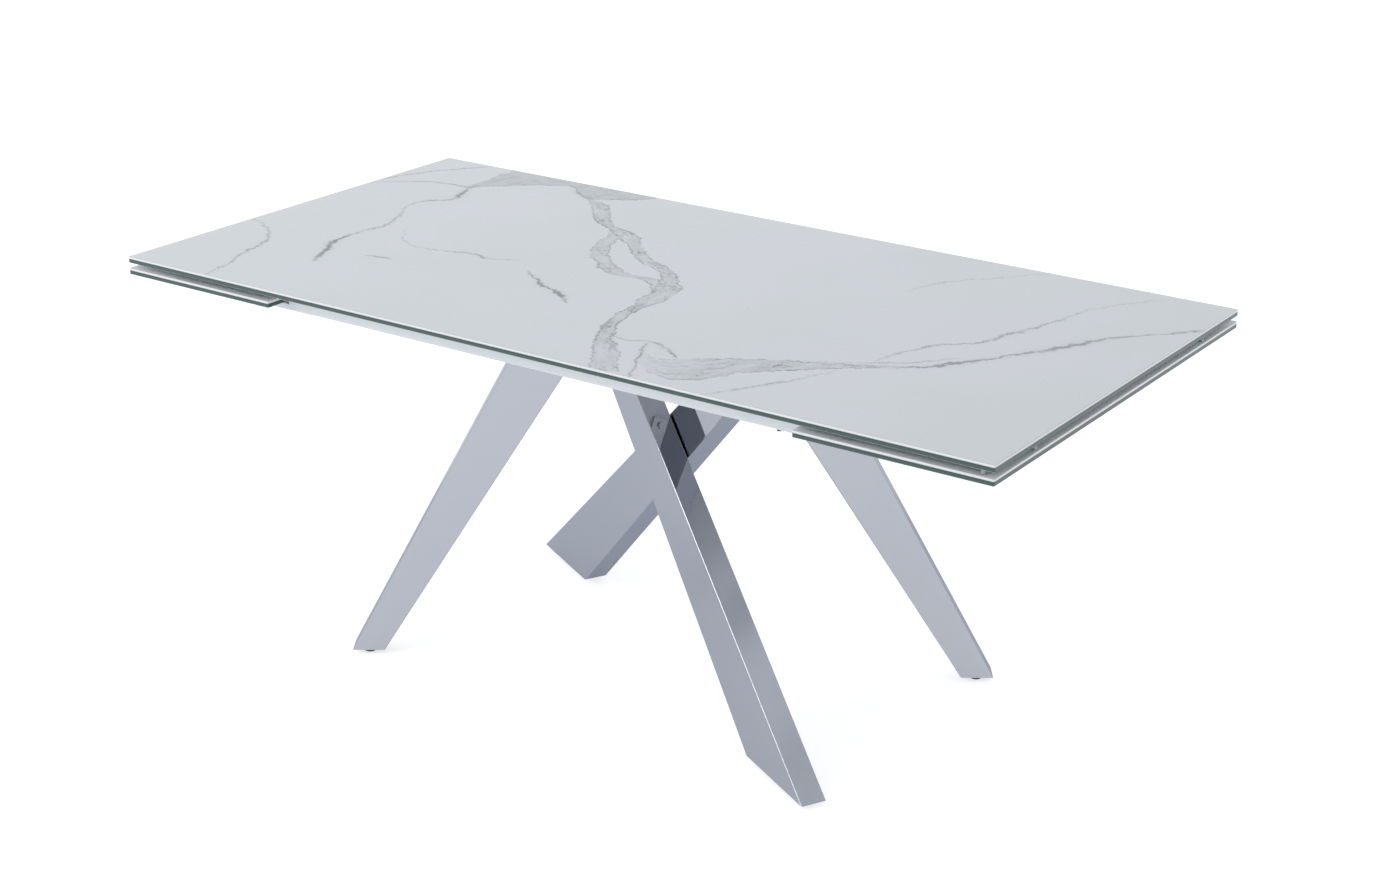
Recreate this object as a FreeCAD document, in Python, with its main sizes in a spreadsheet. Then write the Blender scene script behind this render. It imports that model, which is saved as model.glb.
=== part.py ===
import FreeCAD, Part

import math
import os
import re

import Sketcher
from FreeCAD import Placement, Rotation, Vector

# An extendable dining table. A ceramic-faced glass top sits on a steel frame and four tapered
# chrome legs, and a leaf slides out of each end on tubular runners.
# The origin is on the floor under the middle of the top. +X runs along the table, +Y to its back.
# Every pair of front and back or left and right pieces is one shape, turned half a turn about Z.

DIMENSIONS = {
    # Whole table
    "table_height": 760,
    "top_length": 1800,
    "top_width": 900,
    # Panels: ceramic bonded on glass, in the top and in each leaf
    "ceramic_thickness": 4,
    "glass_thickness": 8,
    "panel_corner": 2,
    "panel_arris": 0.6,
    "leaf_length": 350,
    "panel_gap": 10,
    "bumper_diameter": 8,
    "bumper_clearance": 0.3,
    "bumper_side_reach": 877,
    "bumper_side_inset": 9,
    "bumper_end_spread": 310,
    "bumper_end_inset": 7,
    # Frame under the top
    "bond_thickness": 2,
    "bond_length": 60,
    "bond_spacing": 230,
    "rail_reach": 402,
    "rail_width": 30,
    "rail_height": 35,
    "rail_length": 980,
    "rail_bend": 1.5,
    "tube_wall": 2,
    "end_block_length": 56,
    "tongue_length": 50,
    "tongue_height": 10,
    "block_screw_head": 8,
    "block_screw_drop": 2.5,
    "beam_height": 24,
    "end_beam_width": 40,
    "end_beam_reach": 520,
    "cross_beam_width": 60,
    "cross_beam_reach": 220,
    "centre_plate_length": 800,
    "centre_plate_width": 430,
    "centre_plate_thickness": 6,
    # Tracks and the runners inside them
    "track_length": 1090,
    "track_inset": 24,
    "track_width": 32,
    "track_height": 30,
    "track_wall": 3,
    "track_lip": 5,
    "guide_length": 30,
    "guide_clearance": 0.3,
    "runner_size": 20,
    "runner_length": 855,
    "runner_inner_end": 5,
    "slider_length": 40,
    "leaf_travel": 360,
    "stop_diameter": 6,
    "stop_clearance": 0.5,
    "stop_head_height": 3,
    # Lifting gear of a leaf, folded down
    "cross_bar_reach": 840,
    "bracket_length": 240,
    "bracket_reach": 695,
    "bracket_flange": 30,
    "bracket_depth": 18,
    "bracket_sheet": 3,
    "arm_span": 60,
    "arm_fold": 10,
    "arm_radius": 7,
    "arm_first_pivot": 600,
    "arm_spacing": 140,
    "pin_diameter": 6,
    "pin_clearance": 0.1,
    "pivot_drop": 4,
    "arm_gap": 1.5,
    "disc_diameter": 28,
    "disc_thickness": 2,
    "disc_spacing": 150,
    "spring_diameter": 10,
    "spring_wire": 1.6,
    "spring_pitch": 7,
    "spring_length": 105,
    # Legs: flat rectangular tubes that taper in their own upright plane
    "leg_thickness": 48,
    "leg_wall": 2,
    "leg_bend": 2,
    "leg_top": 708,
    "leg_cut": 10,
    "foot_plate_thickness": 3,
    "flange_length": 200,
    "flange_width": 96,
    "flange_thickness": 8,
    "bolt_inset": 18,
    "bolt_margin": 12,
    "bolt_diameter": 8,
    "bolt_hole": 8.4,
    "bolt_head_across": 13,
    "bolt_head_height": 5.5,
    # Splayed pair: back right and front left, wide at the top
    "splayed_azimuth": 34.6,
    "splayed_offset": 58,
    "splayed_foot_inner": 547,
    "splayed_foot_outer": 608,
    "splayed_top_inner": 108,
    "splayed_top_outer": 236,
    # Crossing pair: front right and back left, wide at the foot
    "crossing_azimuth": -28.5,
    "crossing_offset": 25,
    "crossing_foot_inner": 402,
    "crossing_foot_outer": 604,
    "crossing_top_inner": -357,
    "crossing_top_outer": -240,
    "crossing_spacer_diameter": 36,
    "crossing_bolt_diameter": 10,
    "crossing_bolt_clearance": 0.2,
    "crossing_nut_across": 17,
    "crossing_nut_height": 8,
    # Levelling glides
    "glide_diameter": 24,
    "glide_height": 8,
    "glide_arris": 1.5,
    "glide_stud_diameter": 8,
    "glide_stud_top": 34,
    "glide_clearance": 0.1,
}

# Levels that several pieces share, as formulas of the dimensions
GLASS_UNDERSIDE = "(table_height - ceramic_thickness - glass_thickness)"
FRAME_TOP = f"({GLASS_UNDERSIDE} - bond_thickness)"
RAIL_MIDDLE = f"({FRAME_TOP} - rail_height / 2)"
BEAM_MIDDLE = f"({FRAME_TOP} - beam_height / 2)"
BEAM_UNDERSIDE = f"({FRAME_TOP} - beam_height)"
TRACK_MIDDLE = f"({BEAM_UNDERSIDE} - track_height / 2)"
LEAF_TOP = f"({GLASS_UNDERSIDE} - panel_gap)"
LEAF_UNDERSIDE = f"({LEAF_TOP} - ceramic_thickness - glass_thickness)"
BRACKET_TOP = f"({LEAF_UNDERSIDE} - disc_thickness)"
PIVOT_LEVEL = f"({TRACK_MIDDLE} - pivot_drop)"

# Distances from the middle that several pieces share
RAIL_INSIDE = "(rail_reach - rail_width)"
TRACK_REACH = f"({RAIL_INSIDE} - track_inset - track_width / 2)"
RUNNER_INSIDE = f"({TRACK_REACH} - runner_size / 2)"
ARM_REACH = f"({RUNNER_INSIDE} - arm_gap - bracket_sheet / 2)"
BRACKET_REACH = f"({RUNNER_INSIDE} - 2 * arm_gap - bracket_sheet)"
FLANGE_REACH = f"({BRACKET_REACH} - bracket_flange / 2)"
CAVITY_WIDTH = "(track_width - 2 * track_wall)"
CAVITY_HEIGHT = "(track_height - 2 * track_wall)"
ARM_RUN = "sqrt(arm_span ^ 2 - arm_fold ^ 2)"

ENDS = {"right": 1, "left": -1}
SIDES = {"back": 1, "front": -1}

doc = FreeCAD.newDocument("ExtendableDiningTable")
sheet = doc.addObject("Spreadsheet::Sheet", "Dimensions")
for row, (name, size) in enumerate(DIMENSIONS.items(), start=1):
    sheet.set(f"A{row}", name)
    sheet.set(f"B{row}", str(size))
    sheet.setAlias(f"B{row}", name)
doc.recompute()

nodes = []


def value(formula):
    """The number that a formula of the dimensions gives."""
    return float(sheet.evalExpression(str(formula)))


def bound(formula):
    """The same formula with each dimension's name pointing at its cell."""
    return re.sub(r"[a-z]+(_[a-z]+)+", r"Dimensions.\g<0>", str(formula))


def bind(thing, **formulas):
    for prop, formula in formulas.items():
        thing.setExpression(prop, bound(formula))


def place(thing, x=0, y=0, z=0, turn=0, half_turn=1):
    """Bind a position and a turn about Z. half_turn -1 swings both round to the opposite corner."""
    thing.Placement = Placement(Vector(), Rotation(Vector(0, 0, 1), 1))
    thing.setExpression("Placement.Base.x", bound(f"{half_turn} * ({x})"))
    thing.setExpression("Placement.Base.y", bound(f"{half_turn} * ({y})"))
    thing.setExpression("Placement.Base.z", bound(z))
    thing.setExpression("Placement.Rotation.Angle", bound(f"{turn} + {90 - 90 * half_turn}"))


def rectangle(width, height):
    """Corners of a rectangle about a sketch's origin."""
    return [(f"{a} * {width} / 2", f"{b} * {height} / 2") for a, b in ((-1, -1), (1, -1), (1, 1), (-1, 1))]


def hold(sketch, kind, geometry, point, formula):
    """Hold a point of a sketch at a bound distance from the sketch's origin."""
    index = sketch.addConstraint(Sketcher.Constraint(kind, -1, 1, geometry, point, value(formula)))
    sketch.setExpression(f"Constraints[{index}]", bound(formula))


def draw(body, plane, outlines=(), circles=()):
    """Draw closed outlines of straight lines, and circles as (x, y, diameter), on a body's own plane."""
    sketch = body.newObject("Sketcher::SketchObject", "Sketch")
    own_plane = next(feature for feature in body.Origin.OriginFeatures if feature.Role == plane)
    sketch.AttachmentSupport = [(own_plane, "")]
    sketch.MapMode = "FlatFace"
    for outline in outlines:
        first = sketch.GeometryCount
        points = [Vector(value(x), value(y), 0) for x, y in outline]
        for start, end in zip(points, points[1:] + points[:1]):
            sketch.addGeometry(Part.LineSegment(start, end), False)
        for index, (x, y) in enumerate(outline):
            line, following = first + index, first + (index + 1) % len(outline)
            sketch.addConstraint(Sketcher.Constraint("Coincident", line, 2, following, 1))
            hold(sketch, "DistanceX", line, 1, x)
            hold(sketch, "DistanceY", line, 1, y)
    for x, y, diameter in circles:
        centre = Vector(value(x), value(y), 0)
        circle = sketch.addGeometry(Part.Circle(centre, Vector(0, 0, 1), value(diameter) / 2), False)
        hold(sketch, "DistanceX", circle, 3, x)
        hold(sketch, "DistanceY", circle, 3, y)
        index = sketch.addConstraint(Sketcher.Constraint("Diameter", circle, value(diameter)))
        sketch.setExpression(f"Constraints[{index}]", bound(diameter))
    return sketch


def new_body(name):
    body = doc.addObject("PartDesign::Body", "Body")
    body.Label = name
    return body


def pad(body, sketch, length, midplane=False):
    feature = body.newObject("PartDesign::Pad", "Pad")
    feature.Profile = sketch
    feature.Midplane = midplane
    bind(feature, Length=length)
    return feature


def pocket(body, sketch, length, midplane=False, reversed_side=False):
    """Cut a sketch out of a body, and make sure that it removes material."""
    doc.recompute()
    volume_before = body.Shape.Volume
    feature = body.newObject("PartDesign::Pocket", "Pocket")
    feature.Profile = sketch
    feature.Midplane = midplane
    feature.Reversed = reversed_side
    bind(feature, Length=length)
    doc.recompute()
    if not body.Shape.Volume < volume_before:
        raise RuntimeError(f"{body.Label}: a pocket removes nothing")
    return feature


def dress(body, kind, size_property, size, base, choose):
    """Fillet or chamfer the edges of a feature that choose picks by their run."""
    doc.recompute()
    runs = [edge.Vertexes[-1].Point - edge.Vertexes[0].Point for edge in base.Shape.Edges]
    feature = body.newObject(kind, "Dressing")
    feature.Base = (base, [f"Edge{index}" for index, run in enumerate(runs, start=1) if choose(run)])
    bind(feature, **{size_property: size})
    return feature


def plate(name, length, width, thickness, holes=()):
    """A flat plate, its middle over its origin and its underside at z 0."""
    body = new_body(name)
    pad(body, draw(body, "XY_Plane", [rectangle(length, width)], holes), thickness)
    return body


def bar(name, plane, length, outlines):
    """A bar that runs along X on the YZ plane, or along Y on the XZ plane, about its middle."""
    body = new_body(name)
    pad(body, draw(body, plane, outlines), length, midplane=True)
    return body


def square_tube(name, plane, length, width, height, wall):
    inner = rectangle(f"({width} - 2 * {wall})", f"({height} - 2 * {wall})")
    return bar(name, plane, length, [rectangle(width, height), inner])


def block(length, width, height, x, y, z):
    """A block with its middle over x, y and its underside at z."""
    box = doc.addObject("Part::Box", "Block")
    bind(box, Length=length, Width=width, Height=height)
    place(box, f"{x} - {length} / 2", f"{y} - {width} / 2", z)
    return box


def rod(diameter, length, x, y, z, along=Vector(0, 0, 1)):
    """A round rod that starts at x, y, z."""
    cylinder = doc.addObject("Part::Cylinder", "Rod")
    bind(cylinder, Radius=f"{diameter} / 2", Height=length)
    cylinder.Placement = Placement(Vector(), Rotation(Vector(0, 0, 1), along))
    for axis, formula in zip("xyz", (x, y, z)):
        cylinder.setExpression(f"Placement.Base.{axis}", bound(formula))
    return cylinder


def hexagon(across_flats, height, x, y, z, along=Vector(0, 0, 1)):
    """A hexagonal head or nut that starts at x, y, z."""
    prism = doc.addObject("Part::Prism", "Hexagon")
    prism.Polygon = 6
    bind(prism, Circumradius=f"{across_flats} / 2 / cos(30)", Height=height)
    prism.Placement = Placement(Vector(), Rotation(Vector(0, 0, 1), along))
    for axis, formula in zip("xyz", (x, y, z)):
        prism.setExpression(f"Placement.Base.{axis}", bound(formula))
    return prism


def fused(*pieces):
    fusion = doc.addObject("Part::MultiFuse", "Fusion")
    fusion.Shapes = list(pieces)
    return fusion


def group(name, pieces):
    """Separate identical solids that share one node."""
    compound = doc.addObject("Part::Compound", "Group")
    compound.Links = pieces
    compound.Label = name
    nodes.append(compound)


def keep(body):
    nodes.append(body)
    return body


def on_corners(x, y):
    """The four places at plus and minus x and y."""
    return [(f"{end} * ({x})", f"{side} * ({y})") for end in ENDS.values() for side in SIDES.values()]


# Panels

def panel(name, length, thickness, x, z, half_turn=1):
    """A flat panel as wide as the top, with eased corners and edges."""
    body = new_body(name)
    slab = pad(body, draw(body, "XY_Plane", [rectangle(length, "top_width")]), thickness)
    upright = dress(body, "PartDesign::Fillet", "Radius", "panel_corner", slab,
                    lambda run: abs(run.z) > value(thickness) / 2)
    dress(body, "PartDesign::Chamfer", "Size", "panel_arris", upright,
          lambda run: run.Length > value("leaf_length") / 2)
    place(body, x, 0, z, half_turn=half_turn)
    keep(body)


def make_top():
    panel("top_glass", "top_length", "glass_thickness", 0, GLASS_UNDERSIDE)
    panel("top_ceramic", "top_length", "ceramic_thickness", 0, f"{GLASS_UNDERSIDE} + glass_thickness")
    places = [(f"{turn} * bumper_side_reach", f"{-turn} * (top_width / 2 - bumper_side_inset)")
              for turn in ENDS.values()]
    places += on_corners("top_length / 2 - bumper_end_inset", "bumper_end_spread")
    group("clear_bumpers", [rod("bumper_diameter", "panel_gap - bumper_clearance", x, y,
                                f"{LEAF_TOP} + bumper_clearance") for x, y in places])


# Frame

def make_frame():
    for side, half_turn in SIDES.items():
        rail = new_body(f"side_rail_{side}")
        tube = pad(rail, draw(rail, "YZ_Plane", [rectangle("rail_width", "rail_height")]), "rail_length",
                   midplane=True)
        dress(rail, "PartDesign::Fillet", "Radius", "rail_bend", tube,
              lambda run: abs(run.x) > value("rail_length") / 2)
        hollow = rectangle("(rail_width - 2 * tube_wall)", "(rail_height - 2 * tube_wall)")
        pocket(rail, draw(rail, "YZ_Plane", [hollow]), "rail_length", midplane=True)
        place(rail, 0, "rail_reach - rail_width / 2", RAIL_MIDDLE, half_turn=half_turn)
        keep(rail)

    rail_underside = f"{FRAME_TOP} - rail_height"
    block_reach = "(rail_length / 2 + end_block_length / 2)"
    group("rail_end_blocks", [block("end_block_length", "rail_width", "rail_height", x, y, rail_underside)
                              for x, y in on_corners(block_reach, "rail_reach - rail_width / 2")])
    tongue_reach = "(rail_length / 2 + end_block_length + tongue_length / 2)"
    group("rail_tongues", [block("tongue_length", "rail_width", "tongue_height", x, y, rail_underside)
                           for x, y in on_corners(tongue_reach, "rail_reach - rail_width / 2")])
    group("end_block_screws", [rod("block_screw_head", "block_screw_drop",
                                   f"{turn} * (rail_length / 2 + block_screw_head / 2)",
                                   f"{-turn} * (rail_reach - block_screw_head / 2)",
                                   f"{rail_underside} - block_screw_drop")
                               for turn in ENDS.values()])

    for end, half_turn in ENDS.items():
        for name, width, reach in (("end_beam", "end_beam_width", "end_beam_reach"),
                                   ("cross_beam", "cross_beam_width", "cross_beam_reach")):
            beam = square_tube(f"{name}_{end}", "XZ_Plane", f"2 * {RAIL_INSIDE}", width, "beam_height",
                               "tube_wall")
            place(beam, reach, 0, BEAM_MIDDLE, half_turn=half_turn)
            keep(beam)

    group("top_bond_pads", [block("bond_length", "(rail_width - 2 * rail_bend)", "bond_thickness",
                                  f"{step} * bond_spacing", f"{side} * (rail_reach - rail_width / 2)",
                                  FRAME_TOP)
                            for step in (-2, -1, 0, 1, 2) for side in SIDES.values()])

    holes = [(x, y, "bolt_hole") for pair, half_turn, _ in LEGS for x, y in bolt_places(pair, half_turn)]
    centre_plate = plate("centre_plate", "centre_plate_length", "centre_plate_width",
                         "centre_plate_thickness", holes)
    place(centre_plate, 0, 0, f"{BEAM_UNDERSIDE} - centre_plate_thickness")
    keep(centre_plate)


# Tracks

def make_tracks():
    half_width, half_height = "track_width / 2", "track_height / 2"
    inner_width, inner_height = f"({half_width} - track_wall)", f"({half_height} - track_wall)"
    slot = f"({inner_height} - track_lip)"
    channel = [(f"-{half_width}", f"-{half_height}"), (half_width, f"-{half_height}"),
               (half_width, half_height), (f"-{half_width}", half_height),
               (f"-{half_width}", slot), (f"-{inner_width}", slot),
               (f"-{inner_width}", inner_height), (inner_width, inner_height),
               (inner_width, f"-{inner_height}"), (f"-{inner_width}", f"-{inner_height}"),
               (f"-{inner_width}", f"-{slot}"), (f"-{half_width}", f"-{slot}")]
    stop_reach = "(runner_inner_end + slider_length + leaf_travel + stop_clearance + stop_diameter / 2)"
    for side, half_turn in SIDES.items():
        track = bar(f"slide_track_{side}", "YZ_Plane", "track_length", [channel])
        stop_holes = [(f"{end} * {stop_reach}", "0", "stop_diameter") for end in ENDS.values()]
        pocket(track, draw(track, "XY_Plane", circles=stop_holes), "track_height", reversed_side=True)
        place(track, 0, TRACK_REACH, TRACK_MIDDLE, half_turn=half_turn)
        keep(track)

    guides = []
    for end, end_turn in ENDS.items():
        for side, side_turn in SIDES.items():
            hole = "(runner_size + 2 * guide_clearance)"
            guide = bar(f"track_guide_{side}_{end}", "YZ_Plane", "guide_length",
                        [rectangle(CAVITY_WIDTH, CAVITY_HEIGHT), rectangle(hole, hole)])
            place(guide, f"{end_turn} * (track_length - guide_length) / 2", f"{side_turn} * {TRACK_REACH}",
                  TRACK_MIDDLE)
            guides.append(guide)
    group("track_guides", guides)

    stop_tip = f"({TRACK_MIDDLE} + runner_size / 2 + stop_clearance)"
    stop_seat = f"({TRACK_MIDDLE} + track_height / 2)"
    group("travel_stops", [fused(rod("stop_diameter", f"({stop_seat} - {stop_tip})", x, y, stop_tip),
                                 rod("2 * stop_diameter", "stop_head_height", x, y, stop_seat))
                           for x, y in on_corners(stop_reach, TRACK_REACH)])
    group("centre_stops", [block("(2 * runner_inner_end - 2 * stop_clearance)", CAVITY_WIDTH, CAVITY_HEIGHT,
                                 "0", f"{side} * {TRACK_REACH}", f"{TRACK_MIDDLE} - {CAVITY_HEIGHT} / 2")
                           for side in SIDES.values()])


# Leaves. Each piece is drawn for the right leaf, and the left leaf's is turned half a turn.

def make_leaf(end, half_turn):
    name = f"{end}_leaf"
    middle = "(top_length - leaf_length) / 2"
    panel(f"{name}_glass", "leaf_length", "glass_thickness", middle, LEAF_UNDERSIDE, half_turn)
    panel(f"{name}_ceramic", "leaf_length", "ceramic_thickness", middle,
          f"{LEAF_UNDERSIDE} + glass_thickness", half_turn)

    first, second = "arm_first_pivot", "(arm_first_pivot + arm_spacing)"
    pin_hole = "(pin_diameter + pin_clearance)"
    runner_middle = "(runner_inner_end + runner_length / 2)"
    sliders, arms, pins, springs, discs = [], [], [], [], []
    for side, across in SIDES.items():
        # Half a turn takes the right leaf's back pieces to the front of the left leaf.
        runner_side = side if half_turn == 1 else {"back": "front", "front": "back"}[side]
        runner = square_tube(f"{name}_runner_{runner_side}", "YZ_Plane", "runner_length", "runner_size",
                             "runner_size", "tube_wall")
        pivots = [(f"{pivot} - {runner_middle}", "-pivot_drop", pin_hole) for pivot in (first, second)]
        pocket(runner, draw(runner, "XZ_Plane", circles=pivots), "runner_size", reversed_side=across == 1)
        place(runner, runner_middle, f"{across} * {TRACK_REACH}", TRACK_MIDDLE, half_turn=half_turn)
        keep(runner)

        outer = rectangle(f"({CAVITY_WIDTH} - 2 * guide_clearance)",
                          f"({CAVITY_HEIGHT} - 2 * guide_clearance)")
        slider = bar(f"{name}_slider_{runner_side}", "YZ_Plane", "slider_length",
                     [outer, rectangle("runner_size", "runner_size")])
        place(slider, "runner_inner_end + slider_length / 2", f"{across} * {TRACK_REACH}", TRACK_MIDDLE,
              half_turn=half_turn)
        sliders.append(slider)

        bracket = bar(f"{name}_bracket_{runner_side}", "YZ_Plane", "bracket_length", [[
            ("0", "0"), ("0", "-bracket_depth"),
            (f"-{across} * bracket_sheet", "-bracket_depth"),
            (f"-{across} * bracket_sheet", "-bracket_sheet"),
            (f"-{across} * bracket_flange", "-bracket_sheet"), (f"-{across} * bracket_flange", "0")]])
        web_holes = [(f"{pivot} + {ARM_RUN} - bracket_reach", f"{PIVOT_LEVEL} + arm_fold - {BRACKET_TOP}",
                      pin_hole) for pivot in (first, second)]
        pocket(bracket, draw(bracket, "XZ_Plane", circles=web_holes), "2 * bracket_flange", midplane=True)
        place(bracket, "bracket_reach", f"{across} * {BRACKET_REACH}", BRACKET_TOP, half_turn=half_turn)
        keep(bracket)

        for pivot in (first, second):
            arms.append(lift_arm(pivot, across, half_turn, pin_hole))
            inwards = Vector(0, -across * half_turn, 0)
            for x, z, start, sheet in ((pivot, PIVOT_LEVEL, f"({RUNNER_INSIDE} + tube_wall)", "tube_wall"),
                                       (f"({pivot} + {ARM_RUN})", f"{PIVOT_LEVEL} + arm_fold",
                                        f"({RUNNER_INSIDE} - arm_gap / 2)", "bracket_sheet")):
                length = f"{sheet} + bracket_sheet + 3 * arm_gap / 2"
                pins.append(rod("pin_diameter", length, f"{half_turn} * {x}",
                                f"{across * half_turn} * {start}", z, inwards))
        springs.append(lift_spring(across, half_turn))
        for step in (-1, 1):
            discs.append(rod("disc_diameter", "disc_thickness",
                             f"{half_turn} * (bracket_reach + {step} * disc_spacing / 2)",
                             f"{across * half_turn} * {FLANGE_REACH}", BRACKET_TOP))

    cross_bar = square_tube(f"{name}_cross_bar", "XZ_Plane", f"2 * {RUNNER_INSIDE}", "runner_size",
                            "runner_size", "tube_wall")
    place(cross_bar, "cross_bar_reach", 0, TRACK_MIDDLE, half_turn=half_turn)
    keep(cross_bar)
    group(f"{name}_sliders", sliders)
    group(f"{name}_lift_arms", arms)
    group(f"{name}_lift_pins", pins)
    group(f"{name}_lift_springs", springs)
    group(f"{name}_bond_discs", discs)


def lift_arm(pivot, across, half_turn, pin_hole):
    """A flat link with round ends that turns on one pin in the runner and one in the bracket."""
    body = new_body("Arm")
    profile = body.newObject("Sketcher::SketchObject", "Link")
    own_plane = next(feature for feature in body.Origin.OriginFeatures if feature.Role == "XZ_Plane")
    profile.AttachmentSupport = [(own_plane, "")]
    profile.MapMode = "FlatFace"
    span, radius = value("arm_span"), value("arm_radius")
    up = Vector(0, 0, 1)
    far_arc = Part.ArcOfCircle(Part.Circle(Vector(span, 0, 0), up, radius), -math.pi / 2, math.pi / 2)
    near_arc = Part.ArcOfCircle(Part.Circle(Vector(0, 0, 0), up, radius), math.pi / 2, 3 * math.pi / 2)
    lower = Part.LineSegment(Vector(0, -radius, 0), Vector(span, -radius, 0))
    upper = Part.LineSegment(Vector(span, radius, 0), Vector(0, radius, 0))
    for curve in (lower, far_arc, upper, near_arc):
        profile.addGeometry(curve, False)
    for line, arc, line_point, arc_point in ((0, 1, 2, 1), (2, 1, 1, 2), (2, 3, 2, 1), (0, 3, 1, 2)):
        profile.addConstraint(Sketcher.Constraint("Tangent", line, line_point, arc, arc_point))
    profile.addConstraint(Sketcher.Constraint("Coincident", 3, 3, -1, 1))
    profile.addConstraint(Sketcher.Constraint("Horizontal", 0))
    hold(profile, "DistanceX", 1, 3, "arm_span")
    index = profile.addConstraint(Sketcher.Constraint("Radius", 3, radius))
    profile.setExpression(f"Constraints[{index}]", bound("arm_radius"))
    for x in ("0", "arm_span"):
        hole = profile.addGeometry(Part.Circle(Vector(value(x), 0, 0), up, value(pin_hole) / 2), False)
        profile.addConstraint(Sketcher.Constraint("Coincident", hole, 3, 3 if x == "0" else 1, 3))
        index = profile.addConstraint(Sketcher.Constraint("Diameter", hole, value(pin_hole)))
        profile.setExpression(f"Constraints[{index}]", bound(pin_hole))
    pad(body, profile, "bracket_sheet", midplane=True)
    tilt = math.degrees(math.asin(value("arm_fold / arm_span")))
    half = Rotation(Vector(0, 0, 1), 90 - 90 * half_turn)
    body.Placement = Placement(Vector(), half.multiply(Rotation(Vector(0, 1, 0), -tilt)))
    body.setExpression("Placement.Base.x", bound(f"{half_turn} * {pivot}"))
    body.setExpression("Placement.Base.y", bound(f"{across * half_turn} * {ARM_REACH}"))
    body.setExpression("Placement.Base.z", bound(PIVOT_LEVEL))
    return body


def lift_spring(across, half_turn):
    """An open coil that pulls the bracket towards the cross bar."""
    body = new_body("Spring")
    coil_radius = "(spring_diameter - spring_wire) / 2"
    wire = draw(body, "XZ_Plane", circles=[(coil_radius, "0", "spring_wire")])
    helix = body.newObject("PartDesign::AdditiveHelix", "Coil")
    helix.Profile = wire
    helix.ReferenceAxis = (wire, ["V_Axis"])
    helix.Mode = 0
    bind(helix, Pitch="spring_pitch", Height="spring_length")
    body.Placement = Placement(Vector(), Rotation(Vector(0, 0, 1), Vector(half_turn, 0, 0)))
    body.setExpression("Placement.Base.x", bound(
        f"{half_turn} * (cross_bar_reach - runner_size / 2 - spring_length - spring_wire)"))
    body.setExpression("Placement.Base.y", bound(f"{across * half_turn} * {FLANGE_REACH}"))
    body.setExpression("Placement.Base.z", bound(f"{BRACKET_TOP} - bracket_sheet - spring_diameter"))
    return body


# Legs. A leg's own X runs along its upright plane, out towards its foot.

LEGS = (("splayed", 1, "back_right"), ("splayed", -1, "front_left"),
        ("crossing", 1, "front_right"), ("crossing", -1, "back_left"))


def leg_edge(pair, edge, level):
    """How far along its plane a leg's inner or outer edge is at a level."""
    foot, top = f"{pair}_foot_{edge}", f"{pair}_top_{edge}"
    return f"({foot} + ({top} - {foot}) * ({level} - leg_cut) / (leg_top - leg_cut))"


def leg_outline(pair, low, high, inset="0"):
    """The leg's tapered side view between two levels, each slanting edge moved in by inset."""
    corners = []
    for level, edge in ((low, "inner"), (low, "outer"), (high, "outer"), (high, "inner")):
        slope = f"({pair}_top_{edge} - {pair}_foot_{edge}) / (leg_top - leg_cut)"
        inwards = "+" if edge == "inner" else "-"
        corners.append((f"{leg_edge(pair, edge, level)} {inwards} {inset} * sqrt(1 + ({slope}) ^ 2)", level))
    return corners


def leg_middle(pair, level):
    return f"({leg_edge(pair, 'inner', level)} + {leg_edge(pair, 'outer', level)}) / 2"


def stand(body, pair, half_turn, along="0", z="0"):
    """Stand a piece of a leg in the leg's plane, along from the table's upright axis."""
    turn, offset = f"{pair}_azimuth", f"{pair}_offset"
    place(body, f"{along} * cos({turn}) + {offset} * sin({turn})",
          f"{along} * sin({turn}) - {offset} * cos({turn})", z, turn, half_turn)


def bolt_places(pair, half_turn):
    """The middles of a leg flange's four bolts, in the table's own frame."""
    turn, offset, along = f"{pair}_azimuth", f"{pair}_offset", leg_middle(pair, "leg_top")
    places = []
    for end, side in ((1, 1), (1, -1), (-1, 1), (-1, -1)):
        run = f"({along} + {end} * (flange_length / 2 - bolt_inset))"
        off = f"({side} * (flange_width / 2 - bolt_margin) - {offset})"
        places.append((f"{half_turn} * ({run} * cos({turn}) - {off} * sin({turn}))",
                       f"{half_turn} * ({run} * sin({turn}) + {off} * cos({turn}))"))
    return places


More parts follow.
